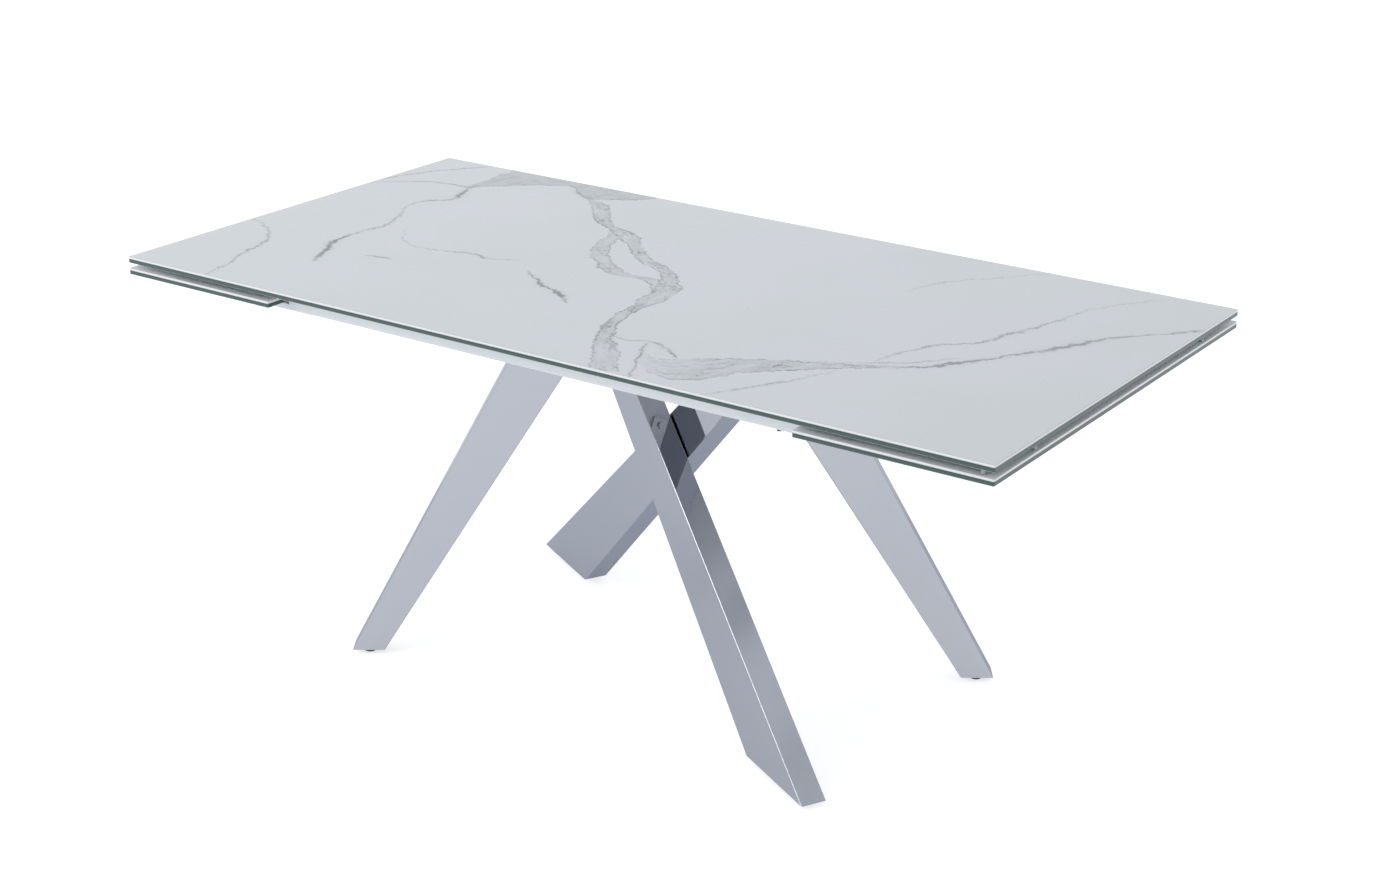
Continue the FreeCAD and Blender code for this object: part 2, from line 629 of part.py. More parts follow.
def make_legs():
    crossing_level = f"({crossing_height()})"
    bolts, foot_plates = [], []
    for pair, half_turn, corner in LEGS:
        tube = new_body(f"leg_{corner}")
        slab = pad(tube, draw(tube, "XZ_Plane", [leg_outline(pair, "leg_cut", "leg_top")]), "leg_thickness",
                   midplane=True)
        dress(tube, "PartDesign::Fillet", "Radius", "leg_bend", slab,
              lambda run: abs(run.z) > value("leg_top") / 2)
        hollow = leg_outline(pair, "leg_cut", "leg_top", "leg_wall")
        pocket(tube, draw(tube, "XZ_Plane", [hollow]), "leg_thickness - 2 * leg_wall", midplane=True)
        if pair == "crossing":
            hole = [("0", crossing_level, "crossing_bolt_diameter + crossing_bolt_clearance")]
            pocket(tube, draw(tube, "XZ_Plane", circles=hole), "leg_thickness")
        stand(tube, pair, half_turn)
        keep(tube)

        bolt_offsets = [(f"{end} * (flange_length / 2 - bolt_inset)",
                         f"{side} * (flange_width / 2 - bolt_margin)", "bolt_hole")
                        for end in (1, -1) for side in (1, -1)]
        flange = plate(f"leg_flange_{corner}", "flange_length", "flange_width", "flange_thickness",
                       bolt_offsets)
        stand(flange, pair, half_turn, leg_middle(pair, "leg_top"), "leg_top")
        keep(flange)
        for x, y in bolt_places(pair, half_turn):
            bolts.append(fused(
                hexagon("bolt_head_across", "bolt_head_height", x, y, "leg_top - bolt_head_height"),
                rod("bolt_diameter", "flange_thickness + centre_plate_thickness", x, y, "leg_top")))

        foot_top = "(leg_cut + foot_plate_thickness)"
        foot_plate = bar("Foot", "XZ_Plane", "leg_thickness - 2 * leg_wall",
                         [leg_outline(pair, "leg_cut", foot_top, "leg_wall")])
        stud_hole = [(leg_middle(pair, "leg_cut"), "0", "glide_stud_diameter + glide_clearance")]
        pocket(foot_plate, draw(foot_plate, "XY_Plane", circles=stud_hole), "3 * leg_cut", midplane=True)
        stand(foot_plate, pair, half_turn)
        foot_plates.append(foot_plate)

        glide = new_body(f"glide_{corner}")
        profile = [("0", "0"), ("glide_diameter / 2 - glide_arris", "0"),
                   ("glide_diameter / 2", "glide_arris"),
                   ("glide_diameter / 2", "glide_height - glide_arris"),
                   ("glide_diameter / 2 - glide_arris", "glide_height"),
                   ("glide_stud_diameter / 2", "glide_height"), ("glide_stud_diameter / 2", "glide_stud_top"),
                   ("0", "glide_stud_top")]
        turned = glide.newObject("PartDesign::Revolution", "Turned")
        turned.Profile = draw(glide, "XZ_Plane", [profile])
        turned.ReferenceAxis = (turned.Profile[0], ["V_Axis"])
        turned.Angle = 360
        stand(glide, pair, half_turn, leg_middle(pair, "leg_cut"))
        keep(glide)
    group("leg_bolts", bolts)
    group("foot_plates", foot_plates)
    make_crossing(crossing_level)


def crossing_height():
    """The level of the crossing legs' middle where they pass each other."""
    levels = []
    for edge in ("inner", "outer"):
        foot, top = f"crossing_foot_{edge}", f"crossing_top_{edge}"
        levels.append(f"(leg_cut + (leg_top - leg_cut) * {foot} / ({foot} - {top}))")
    return f"({levels[0]} + {levels[1]}) / 2"


def make_crossing(level):
    """The spacer between the crossing legs, and the bolt and nut that hold them together there."""
    turn = "crossing_azimuth"
    gap = "(2 * crossing_offset - leg_thickness)"
    azimuth = math.radians(value(turn))
    across = Vector(-math.sin(azimuth), math.cos(azimuth), 0)

    def on_axis(distance):
        return f"-({distance}) * sin({turn})", f"({distance}) * cos({turn})", level

    spacer = doc.addObject("Part::Cut", "crossing_spacer")
    spacer.Label = "crossing_spacer"
    start = on_axis(f"-{gap} / 2")
    spacer.Base = rod("crossing_spacer_diameter", gap, *start, across)
    spacer.Tool = rod("crossing_bolt_diameter + crossing_bolt_clearance", gap, *start, across)
    keep(spacer)

    seat = f"({gap} / 2 + leg_wall)"
    head = hexagon("crossing_nut_across", "crossing_nut_height", *on_axis(seat), across)
    shank = rod("crossing_bolt_diameter", f"2 * {seat}", *on_axis(f"-{seat}"), across)
    nut_place = on_axis(f"-{seat} - crossing_nut_height")
    nut = hexagon("crossing_nut_across", "crossing_nut_height", *nut_place, across)
    group("crossing_bolt", [fused(head, shank), nut])


make_top()
make_frame()
make_tracks()
for end, half_turn in ENDS.items():
    make_leaf(end, half_turn)
make_legs()

doc.recompute()
for thing in doc.Objects:
    if "Invalid" in thing.State or "Error" in thing.State:
        raise RuntimeError(f"{thing.Label} failed: {thing.State}")
for node in nodes:
    if node.Shape.isNull() or not node.Shape.isValid() or not node.Shape.Solids:
        raise RuntimeError(f"{node.Label} has no valid solid")

os.makedirs("parts", exist_ok=True)
for node in nodes:
    node.Shape.exportStep(f"parts/{node.Label}.step")
print(len(nodes), "nodes")
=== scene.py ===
"""Looks of the extendable dining table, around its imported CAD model. Metres, in the CAD model's own frame."""

import math

import bpy
from mathutils import Euler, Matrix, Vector


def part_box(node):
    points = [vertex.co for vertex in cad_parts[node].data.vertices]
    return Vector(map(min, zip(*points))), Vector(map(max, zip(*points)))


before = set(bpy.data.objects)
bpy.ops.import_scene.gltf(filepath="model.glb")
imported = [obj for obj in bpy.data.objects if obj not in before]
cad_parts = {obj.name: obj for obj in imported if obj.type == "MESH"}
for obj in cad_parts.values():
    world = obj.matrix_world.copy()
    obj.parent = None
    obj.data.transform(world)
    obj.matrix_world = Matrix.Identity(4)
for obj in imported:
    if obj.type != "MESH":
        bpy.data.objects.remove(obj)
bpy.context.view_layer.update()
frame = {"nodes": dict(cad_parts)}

# ---------------------------------------------------------------- camera, floor and light

CAMERA_PLACE = Vector((2.3505, -3.289, 2.0229))
CAMERA_TURN = Euler((1.20655, -0.01352, 0.57868))
CAMERA_LENS = 60.54
CAMERA_SHIFT = (-0.0525, -0.0106)
CAMERA_REACH = 200.0

FLOOR_RADIUS = 60.0
FLOOR_RINGS = (1.5, 3.0, 6.0, 12.0, 25.0, FLOOR_RADIUS)
FLOOR_SIDES = 64
FLOOR_TONES = ((0.53, 0.535, 0.54, 1.0), (0.55, 0.553, 0.556, 1.0))
FLOOR_GLOW = 0.62

HORIZON = (1.0, 1.02, 1.06, 1.0)
ZENITH = (0.74, 0.76, 0.79, 1.0)
ZENITH_HEIGHT = 0.75
SKY_STRENGTH = 1.10

# Each softbox: its name, its place, the point that it faces, its size in metres and its power in watts.
SOFTBOXES = (
    ("overhead_softbox", (-1.3, 0.4, 4.2), (0.0, 0.0, 0.0), (4.6, 4.0), 22.0),
    ("front_softbox", (-2.6, -5.0, 3.9), (0.0, 0.0, 0.5), (2.6, 2.0), 120.0),
)


class Nodes:
    """One shader tree. A method's inputs are numbers or sockets, and it gives the new node's first output."""

    def __init__(self, tree):
        self.tree = tree
        tree.nodes.clear()

    def add(self, kind, inputs=None, **settings):
        node = self.tree.nodes.new("ShaderNode" + kind)
        for name, value in settings.items():
            setattr(node, name, value)
        for name, value in (inputs or {}).items():
            self.give(node.inputs[name], value)
        return node

    def give(self, socket, value):
        if isinstance(value, bpy.types.NodeSocket):
            self.tree.links.new(value, socket)
        else:
            socket.default_value = value

    def math(self, operation, *values):
        return self.add("Math", dict(enumerate(values)), operation=operation).outputs[0]

    def size(self, value):
        return self.math("ABSOLUTE", value)

    def times(self, *values):
        result = values[0]
        for value in values[1:]:
            result = self.math("MULTIPLY", result, value)
        return result

    def step(self, value, low, high, start=0.0, end=1.0):
        """A smooth change from start, at low, to end, at high."""
        inputs = {"Value": value, "From Min": low, "From Max": high, "To Min": start, "To Max": end}
        return self.add("MapRange", inputs, interpolation_type="SMOOTHSTEP").outputs[0]

    def mix(self, share, first, second):
        node = self.add("Mix", data_type="RGBA")
        for index, value in zip((0, 6, 7), (share, first, second)):
            self.give(node.inputs[index], value)
        return node.outputs[2]

    def noise(self, place, scale, detail=4.0, rough=0.5, colour=False):
        inputs = {"Vector": place, "Scale": scale, "Detail": detail, "Roughness": rough}
        return self.add("TexNoise", inputs).outputs["Color" if colour else "Fac"]

    def stretched(self, place, x=1.0, y=1.0, z=1.0):
        return self.add("Mapping", {"Vector": place, "Scale": (x, y, z)}).outputs[0]

    def bump(self, height, depth):
        """The shading of a relief of that depth in metres, where height goes from 0 to 1."""
        return self.add("Bump", {"Height": height, "Distance": depth}).outputs[0]

    def place(self):
        return self.add("TexCoord").outputs["Object"]

    def parts(self, vector):
        return self.add("SeparateXYZ", {0: vector}).outputs

    def facing_up(self):
        """The face's own normal along Z, from -1 to 1."""
        return self.parts(self.add("NewGeometry").outputs["True Normal"])[2]

    def curve(self, value, points):
        """A smooth function through (value, result) points, all from 0 to 1."""
        node = self.add("FloatCurve", {"Value": value})
        line = node.mapping.curves[0]
        line.points[0].location = points[0]
        line.points[1].location = points[-1]
        for at, height in points[1:-1]:
            line.points.new(at, height)
        node.mapping.update()
        return node.outputs[0]


def material(name):
    made = bpy.data.materials.new(name)
    made.use_nodes = True
    return made, Nodes(made.node_tree)


def finish_surface(nodes, **inputs):
    """The Principled shader and the material's output. Names are written with _ for a space."""
    spaced = {name.replace("_", " "): value for name, value in inputs.items()}
    shader = nodes.add("BsdfPrincipled", spaced)
    nodes.add("OutputMaterial", {"Surface": shader.outputs[0]})


def make_camera():
    camera = bpy.data.objects.new("camera", bpy.data.cameras.new("camera"))
    camera.location = CAMERA_PLACE
    camera.rotation_euler = CAMERA_TURN
    camera.data.lens = CAMERA_LENS
    camera.data.shift_x, camera.data.shift_y = CAMERA_SHIFT
    camera.data.clip_end = CAMERA_REACH
    bpy.context.scene.collection.objects.link(camera)
    bpy.context.scene.camera = camera


def make_floor():
    """A round floor of rings about the table, in an evenly lit white paper."""
    points = [(0.0, 0.0, 0.0)]
    faces = []
    for ring, radius in enumerate(FLOOR_RINGS):
        first = 1 + ring * FLOOR_SIDES
        for side in range(FLOOR_SIDES):
            angle = 2 * math.pi * side / FLOOR_SIDES
            points.append((radius * math.cos(angle), radius * math.sin(angle), 0.0))
            after = (side + 1) % FLOOR_SIDES
            if ring == 0:
                faces.append((0, first + side, first + after))
            else:
                inner = first - FLOOR_SIDES
                faces.append((inner + side, first + side, first + after, inner + after))
    mesh = bpy.data.meshes.new("floor")
    mesh.from_pydata(points, [], faces)
    floor = bpy.data.objects.new("floor", mesh)
    bpy.context.scene.collection.objects.link(floor)
    paper, nodes = material("floor_paper")
    grain = nodes.noise(nodes.place(), 3.0, 3.0)
    colour = nodes.mix(grain, *FLOOR_TONES)
    finish_surface(nodes, Base_Color=colour, Roughness=0.9, Specular_IOR_Level=0.1,
                   Emission_Color=(1.0, 1.0, 1.0, 1.0), Emission_Strength=FLOOR_GLOW)
    mesh.materials.append(paper)


def make_sky():
    world = bpy.data.worlds.new("studio")
    bpy.context.scene.world = world
    world.use_nodes = True
    nodes = Nodes(world.node_tree)
    height = nodes.parts(nodes.add("TexCoord").outputs["Generated"])[2]
    colour = nodes.mix(nodes.step(height, 0.0, ZENITH_HEIGHT), HORIZON, ZENITH)
    light = nodes.add("Background", {"Color": colour, "Strength": SKY_STRENGTH})
    nodes.add("OutputWorld", {"Surface": light.outputs[0]})


def make_softbox(name, place, target, size, power):
    data = bpy.data.lights.new(name, "AREA")
    data.shape = "RECTANGLE"
    data.size, data.size_y = size
    data.energy = power
    lamp = bpy.data.objects.new(name, data)
    lamp.location = place
    lamp.rotation_euler = (Vector(target) - Vector(place)).to_track_quat("-Z", "Y").to_euler()
    bpy.context.scene.collection.objects.link(lamp)


def make_lights():
    for softbox in SOFTBOXES:
        make_softbox(*softbox)
    bpy.context.scene.view_settings.view_transform = "Standard"


# ---------------------------------------------------------------- marble

# Each vein is a line of points on the table top: x and y, half the vein's width, and how dark it is, 0 to 1.
LINE_VEINS = (
    ((-0.90, -0.13, 0.002, 0.30), (-0.78, -0.215, 0.003, 0.45), (-0.755, -0.285, 0.003, 0.55),
     (-0.73, -0.355, 0.003, 0.50), (-0.70, -0.46, 0.002, 0.35)),
    ((-0.715, 0.10, 0.002, 0.35), (-0.66, -0.02, 0.003, 0.55), (-0.665, -0.08, 0.003, 0.60),
     (-0.67, -0.135, 0.004, 0.75), (-0.64, -0.20, 0.006, 0.80), (-0.60, -0.275, 0.003, 0.0)),
    ((-0.55, -0.195, 0.002, 0.0), (-0.525, -0.184, 0.003, 0.55), (-0.495, -0.186, 0.002, 0.0)),
    ((-0.90, 0.235, 0.002, 0.45), (-0.85, 0.35, 0.003, 0.50), (-0.77, 0.46, 0.002, 0.45)),
    ((-0.91, 0.19, 0.003, 0.50), (-0.80, 0.275, 0.003, 0.55), (-0.705, 0.285, 0.004, 0.60)),
    ((-0.705, 0.28, 0.005, 0.70), (-0.70, 0.345, 0.003, 0.60), (-0.67, 0.46, 0.002, 0.50)),
    ((-0.705, 0.29, 0.004, 0.70), (-0.685, 0.23, 0.005, 0.75), (-0.68, 0.20, 0.005, 0.80),
     (-0.715, 0.155, 0.003, 0.55), (-0.71, 0.08, 0.002, 0.25)),
    ((-0.62, 0.01, 0.002, 0.0), (-0.545, -0.085, 0.002, 0.35), (-0.445, -0.085, 0.002, 0.40),
     (-0.40, -0.072, 0.003, 0.60), (-0.335, -0.068, 0.003, 0.60), (-0.30, -0.035, 0.002, 0.0)),
    ((-0.25, -0.095, 0.002, 0.30), (-0.17, -0.15, 0.004, 0.75), (-0.13, -0.165, 0.005, 0.80),
     (-0.075, -0.205, 0.002, 0.0)),
    ((0.085, -0.295, 0.003, 0.60), (0.13, -0.30, 0.002, 0.45), (0.165, -0.287, 0.003, 0.50),
     (0.25, -0.33, 0.004, 0.55)),
    ((0.17, -0.295, 0.002, 0.50), (0.19, -0.353, 0.003, 0.65), (0.207, -0.384, 0.003, 0.60),
     (0.24, -0.46, 0.002, 0.40)),
    ((0.50, -0.198, 0.004, 0.60), (0.57, -0.163, 0.004, 0.65), (0.64, -0.082, 0.005, 0.65),
     (0.69, -0.005, 0.004, 0.60), (0.75, 0.10, 0.007, 0.65), (0.79, 0.175, 0.004, 0.60),
     (0.92, 0.32, 0.003, 0.50)),
    ((0.42, -0.225, 0.002, 0.0), (0.51, -0.175, 0.002, 0.45), (0.57, -0.13, 0.003, 0.40),
     (0.64, -0.05, 0.002, 0.0)),
    ((0.52, -0.16, 0.002, 0.0), (0.563, -0.032, 0.003, 0.50), (0.614, 0.02, 0.003, 0.50),
     (0.64, 0.10, 0.004, 0.50), (0.668, 0.197, 0.003, 0.45), (0.694, 0.30, 0.002, 0.40),
     (0.78, 0.43, 0.002, 0.0)),
    ((0.37, 0.20, 0.002, 0.0), (0.41, 0.296, 0.002, 0.35), (0.445, 0.342, 0.002, 0.35),
     (0.54, 0.455, 0.002, 0.0)),
    ((0.36, -0.47, 0.002, 0.35), (0.42, -0.385, 0.003, 0.40), (0.50, -0.22, 0.002, 0.0)),
)
BAND_VEINS = (
    ((-0.51, 0.395, 0.003, 0.65), (-0.456, 0.363, 0.005, 0.75), (-0.39, 0.31, 0.017, 0.70),
     (-0.335, 0.25, 0.013, 0.80), (-0.295, 0.22, 0.008, 0.85), (-0.235, 0.19, 0.018, 0.70),
     (-0.187, 0.146, 0.010, 0.75), (-0.124, 0.095, 0.013, 0.70), (-0.053, 0.053, 0.011, 0.75),
     (0.0, -0.005, 0.017, 0.75), (0.03, -0.055, 0.022, 0.70)),
    ((-0.262, 0.20, 0.008, 0.55), (-0.232, 0.108, 0.016, 0.65), (-0.185, 0.045, 0.014, 0.65),
     (-0.135, 0.006, 0.014, 0.65), (-0.085, -0.010, 0.011, 0.65), (-0.035, -0.012, 0.010, 0.70),
     (0.02, -0.06, 0.010, 0.65)),
    ((0.028, -0.04, 0.016, 0.70), (0.035, -0.10, 0.020, 0.65), (0.042, -0.162, 0.010, 0.90),
     (0.05, -0.21, 0.011, 0.95), (0.062, -0.26, 0.010, 0.85), (0.088, -0.31, 0.013, 0.80),
     (0.130, -0.365, 0.020, 0.60), (0.190, -0.45, 0.024, 0.55)),
    ((0.20, -0.36, 0.006, 0.20), (0.255, -0.385, 0.040, 0.40), (0.31, -0.355, 0.050, 0.60),
     (0.36, -0.30, 0.032, 0.75), (0.42, -0.258, 0.022, 0.75), (0.50, -0.203, 0.010, 0.70),
     (0.57, -0.163, 0.004, 0.60)),
)
# The near edge of the grey patch at the back: x and y along it.
FAR_PATCH = ((-0.72, 0.28), (-0.665, 0.334), (-0.618, 0.375), (-0.566, 0.406), (-0.54, 0.42),
             (-0.51, 0.40), (-0.463, 0.363), (-0.405, 0.395), (-0.35, 0.44))

CERAMIC_WHITE = (0.502, 0.514, 0.538, 1.0)
CERAMIC_CLOUD = (0.472, 0.496, 0.497, 1.0)
# Painted light as well as the body's own colour: the white body on the edges, lighter than the glaze where the
# edges catch more light.
CERAMIC_BODY_AND_PAINTED_LIGHT = (0.62, 0.625, 0.635, 1.0)
# Painted shade: the darker colour of the chamfer along the top edge.
CHAMFER_PAINTED_SHADE = (0.40, 0.41, 0.42, 1.0)
VEIN_GREY = (0.085, 0.098, 0.105, 1.0)
CERAMIC_GLOSS = (0.26, 0.29)
CLOUD_SCALE, CLOUD_SHARE = 2.2, 0.7
SPECKLE_SCALE, SPECKLE_SHARE = 420.0, 0.3

# What makes the veins ragged, from wide bends to fine teeth: each noise's scale, and how far it moves a vein.
WARPS = ((9.0, 0.026), (40.0, 0.022), (150.0, 0.012), (320.0, 0.006))
BREAK_SCALE, MOTTLE_SCALE = 26.0, 45.0
HALO_REACH, HALO_SHARE = 4.0, 0.15
OUTLINE_NEAR, OUTLINE_FAR, OUTLINE_SHARE = 0.0006, 0.0026, 1.05
TONE_FLOW, STRAND_FLOW = (14.0, 60.0), (9.0, 46.0)
PATCH_SHARE, RIM_REACH, RIM_SHARE = 0.42, 0.004, 0.85
LEAF_VEIN_SHARE = 0.5


def along_vein(nodes, place, points):
    """A place's position on a vein, and the vein's own measures.

    It gives the place's way along the vein's chord, 0 to 1, its metres from the vein's middle line, where
    each point of the vein is along the chord, and the chord's length.
    """
    start, end = Vector(points[0][:2]), Vector(points[-1][:2])
    chord = end - start
    turn = math.atan2(chord.y, chord.x)
    length = chord.length
    inputs = {"Vector": place, "Location": (*start, 0.0), "Rotation": (0.0, 0.0, turn),
              "Scale": (length, length, 1.0)}
    own = nodes.add("Mapping", inputs, vector_type="TEXTURE").outputs[0]
    along, across, _ = nodes.parts(own)
    path = []
    for x, y, *_ in points:
        step = Vector((x, y)) - start
        forward = step.dot(chord) / length**2
        aside = chord.cross(step) / length**2
        path.append((forward, 0.5 + aside))
    middle = nodes.math("SUBTRACT", nodes.curve(along, path), 0.5)
    apart = nodes.times(nodes.math("SUBTRACT", across, middle), length)
    return along, apart, [forward for forward, _ in path], length


def profile(nodes, along, places, values):
    """A value that changes along a vein, in its own units."""
    largest = max(values)
    share = nodes.curve(along, [(place, value / largest) for place, value in zip(places, values)])
    return nodes.times(share, largest)


def width_and_dark(nodes, along, places, points):
    """Half a vein's width and its darkness, at each way along it."""
    width = profile(nodes, along, places, [point[2] for point in points])
    dark = profile(nodes, along, places, [point[3] for point in points])
    return width, dark


def between_ends(nodes, along):
    """1 from a vein's start to its end, and 0 beyond them."""
    return nodes.math("COMPARE", along, 0.5, 0.5)


def line_vein(nodes, place, points, broken):
    """A thin vein: a dark line with a faint halo."""
    along, apart, places, _ = along_vein(nodes, place, points)
    width, dark = width_and_dark(nodes, along, places, points)
    share = nodes.math("DIVIDE", nodes.size(apart), width)
    line = nodes.times(nodes.step(share, 0.4, 1.2, 1.0, 0.0), broken)
    halo = nodes.step(share, 0.0, HALO_REACH, HALO_SHARE, 0.0)
    both = nodes.math("ADD", line, halo)
    return nodes.times(both, dark, between_ends(nodes, along))


def band_vein(nodes, place, points, broken, mottled):
    """A wide vein: grey strands that run along it, between two thin dark lines."""
    along, apart, places, length = along_vein(nodes, place, points)
    width, dark = width_and_dark(nodes, along, places, points)
    past_edge = nodes.math("SUBTRACT", nodes.size(apart), width)
    outline = nodes.step(nodes.size(past_edge), OUTLINE_NEAR, OUTLINE_FAR, OUTLINE_SHARE, 0.0)
    outline = nodes.times(outline, broken)
    within = nodes.step(past_edge, -0.002, 0.001, 1.0, 0.0)
    flow = nodes.add("CombineXYZ", {0: nodes.times(along, length), 1: apart}).outputs[0]
    tone = nodes.noise(nodes.stretched(flow, *TONE_FLOW), 1.0, 4.0, 0.6)
    tone = nodes.times(nodes.step(tone, 0.42, 0.60, 0.26, 0.55), mottled)
    strand = nodes.noise(nodes.stretched(flow, *STRAND_FLOW), 1.0, 3.0, 0.55)
    strand = nodes.size(nodes.math("SUBTRACT", strand, 0.5))
    strand = nodes.times(nodes.step(strand, 0.004, 0.022, 1.0, 0.0), broken)
    fill = nodes.times(within, nodes.math("MAXIMUM", tone, strand))
    both = nodes.math("MAXIMUM", outline, fill)
    return nodes.times(both, dark, between_ends(nodes, along))


def warped(nodes, flat):
    """Places pushed about by noise, so that what is drawn on them is ragged."""
    ragged = nodes.place()
    for scale, reach in WARPS:
        push = nodes.noise(flat, scale, 3.0, 0.6, colour=True)
        inputs = {0: push, 1: (-0.5, -0.5, -0.5)}
        push = nodes.add("VectorMath", inputs, operation="ADD").outputs[0]
        push = nodes.add("VectorMath", {0: push, "Scale": reach}, operation="SCALE").outputs[0]
        ragged = nodes.add("VectorMath", {0: ragged, 1: push}, operation="ADD").outputs[0]
    return ragged


def far_patch(nodes, place, broken, mottled):
    """The grey patch at the back of the top, with a thin dark rim on its near edge."""
    low_x, high_x = FAR_PATCH[0][0], FAR_PATCH[-1][0]
    span = high_x - low_x
    x, y, _ = nodes.parts(place)
    share = nodes.math("DIVIDE", nodes.math("SUBTRACT", x, low_x), span)
    shore = nodes.curve(share, [((at - low_x) / span, height) for at, height in FAR_PATCH])
    beyond = nodes.math("SUBTRACT", y, shore)
    patch = nodes.times(nodes.step(beyond, -0.003, 0.003, 0.0, PATCH_SHARE), mottled)
    rim = nodes.times(nodes.step(nodes.size(beyond), 0.0, RIM_REACH, RIM_SHARE, 0.0), broken)
    return nodes.times(nodes.math("MAXIMUM", patch, rim), between_ends(nodes, share))


def ceramic_top():
    made, nodes = material("marble_ceramic_top")
    flat = nodes.place()
    ragged = warped(nodes, flat)
    broken = nodes.step(nodes.noise(flat, BREAK_SCALE, 4.0, 0.65), 0.30, 0.54, 0.28, 1.0)
    mottled = nodes.step(nodes.noise(flat, MOTTLE_SCALE, 5.0, 0.7), 0.35, 0.70, 0.55, 1.0)
    shade = far_patch(nodes, ragged, broken, mottled)
    for points in LINE_VEINS:
        shade = nodes.math("MAXIMUM", shade, line_vein(nodes, ragged, points, broken))
    for points in BAND_VEINS:
        shade = nodes.math("MAXIMUM", shade, band_vein(nodes, ragged, points, broken, mottled))
    finish_ceramic(nodes, flat, shade)
    return made


def finish_ceramic(nodes, flat, shade):
    """The glaze on the upper face, clouded and speckled under its veins, and the white body on the edges,
    lighter as painted light, with a painted shade along the chamfer.
    """
    cloud = nodes.step(nodes.noise(flat, CLOUD_SCALE, 3.0, 0.5), 0.3, 0.7, 0.0, CLOUD_SHARE)
    speckle = nodes.times(nodes.noise(flat, SPECKLE_SCALE, 2.0, 0.6), SPECKLE_SHARE)
    ground = nodes.mix(nodes.math("ADD", cloud, speckle), CERAMIC_WHITE, CERAMIC_CLOUD)
    glaze = nodes.mix(shade, ground, VEIN_GREY)
    upright = nodes.facing_up()
    # The edges take the body colour, which is partly painted light: lighter than the glaze where the sides
    # catch more light.
    upper = nodes.step(upright, 0.5, 0.9)
    # Painted shade: where the normal slants, on the chamfer, the colour is darker.
    slant = nodes.size(nodes.math("SUBTRACT", upright, 0.7))
    chamfer_shade_mask = nodes.step(slant, 0.1, 0.2, 1.0, 0.0)
    colour = nodes.mix(chamfer_shade_mask, nodes.mix(upper, CERAMIC_BODY_AND_PAINTED_LIGHT, glaze), CHAMFER_PAINTED_SHADE)
    gloss = nodes.step(nodes.noise(flat, 6.0, 1.0), 0.3, 0.7, *CERAMIC_GLOSS)
    finish_surface(nodes, Base_Color=colour, Roughness=gloss, IOR=1.5)


def ceramic_leaf():
    made, nodes = material("marble_ceramic_leaf")
    flat = nodes.place()
    bent = nodes.noise(flat, 3.0, 6.0, 0.6)
    thin = nodes.step(nodes.size(nodes.math("SUBTRACT", bent, 0.5)), 0.0, 0.014, 1.0, 0.0)
    where = nodes.step(nodes.noise(flat, 2.5, 2.0), 0.45, 0.62)
    shade = nodes.times(thin, where, LEAF_VEIN_SHARE)
    finish_ceramic(nodes, flat, shade)
    return made


# ---------------------------------------------------------------- glass, metals and plastics

# Painted shade and painted reflection on the glass's cut edge: darker just under the ceramic, and lighter and
# streaked below, standing in for bright inner reflections.
GLASS_EDGE_PAINTED_SHADE = (0.006, 0.016, 0.014, 1.0)
GLASS_EDGE_GREEN = (0.028, 0.066, 0.057, 1.0)
GLASS_EDGE_PAINTED_REFLECTION = (0.075, 0.125, 0.115, 1.0)
GLASS_BACK = (0.85, 0.87, 0.885, 1.0)


def glass(name, low, high):
    """Back-painted glass whose cut edge is dark green, with a painted shade just under the ceramic and a
    streaked painted reflection on its lower part.
    """
    made, nodes = material(name)
    flat = nodes.place()
    height = nodes.parts(flat)[2]
    # Painted shade: the upper part of the cut edge, just under the ceramic, is coloured darker.
    dark = nodes.step(height, low + 0.6 * (high - low), high)
    # Painted reflection: the lower part of the cut edge is coloured lighter, with streaks.
    light = nodes.step(height, low, low + 0.4 * (high - low), 1.0, 0.0)
    streaks = nodes.noise(nodes.stretched(flat, 4.0, 4.0, 300.0), 6.0, 3.0)
    edge = nodes.mix(nodes.times(streaks, light), GLASS_EDGE_GREEN, GLASS_EDGE_PAINTED_REFLECTION)
    edge = nodes.mix(dark, edge, GLASS_EDGE_PAINTED_SHADE)
    faces = nodes.step(nodes.size(nodes.facing_up()), 0.5, 0.9)
    colour = nodes.mix(faces, edge, GLASS_BACK)
    gloss = nodes.step(streaks, 0.3, 0.7, 0.05, 0.09)
    finish_surface(nodes, Base_Color=colour, Roughness=gloss, IOR=1.52)
    return made


CHROME_TONES = ((0.40, 0.415, 0.46, 1.0), (0.42, 0.435, 0.475, 1.0))
CHROME_RIM = (0.40, 0.43, 0.49, 1.0)
CHROME_GLOSS = (0.02, 0.05)
CHROME_WAVE = 0.0012
HAZE_LOW, HAZE_HIGH, HAZE_ROUGHNESS = 0.30, 0.44, 0.20


def chrome():
    """Dark-toned chrome, darker where it is seen edge on, with a haze on the lower part of the legs."""
    made, nodes = material("chrome")
    flat = nodes.place()
    streaks = nodes.noise(nodes.stretched(flat, 6.0, 6.0, 1.2), 9.0, 4.0)
    clean = nodes.step(streaks, 0.3, 0.75, *CHROME_GLOSS)
    haze = nodes.step(nodes.parts(flat)[2], HAZE_LOW, HAZE_HIGH, HAZE_ROUGHNESS, 0.0)
    gloss = nodes.math("ADD", clean, haze)
    tint = nodes.mix(nodes.noise(flat, 2.0, 2.0), *CHROME_TONES)
    relief = nodes.bump(nodes.noise(flat, 5.0, 1.0), CHROME_WAVE)
    finish_surface(nodes, Base_Color=tint, Metallic=1.0, Specular_Tint=CHROME_RIM,
                   Roughness=gloss, Normal=relief)
    return made


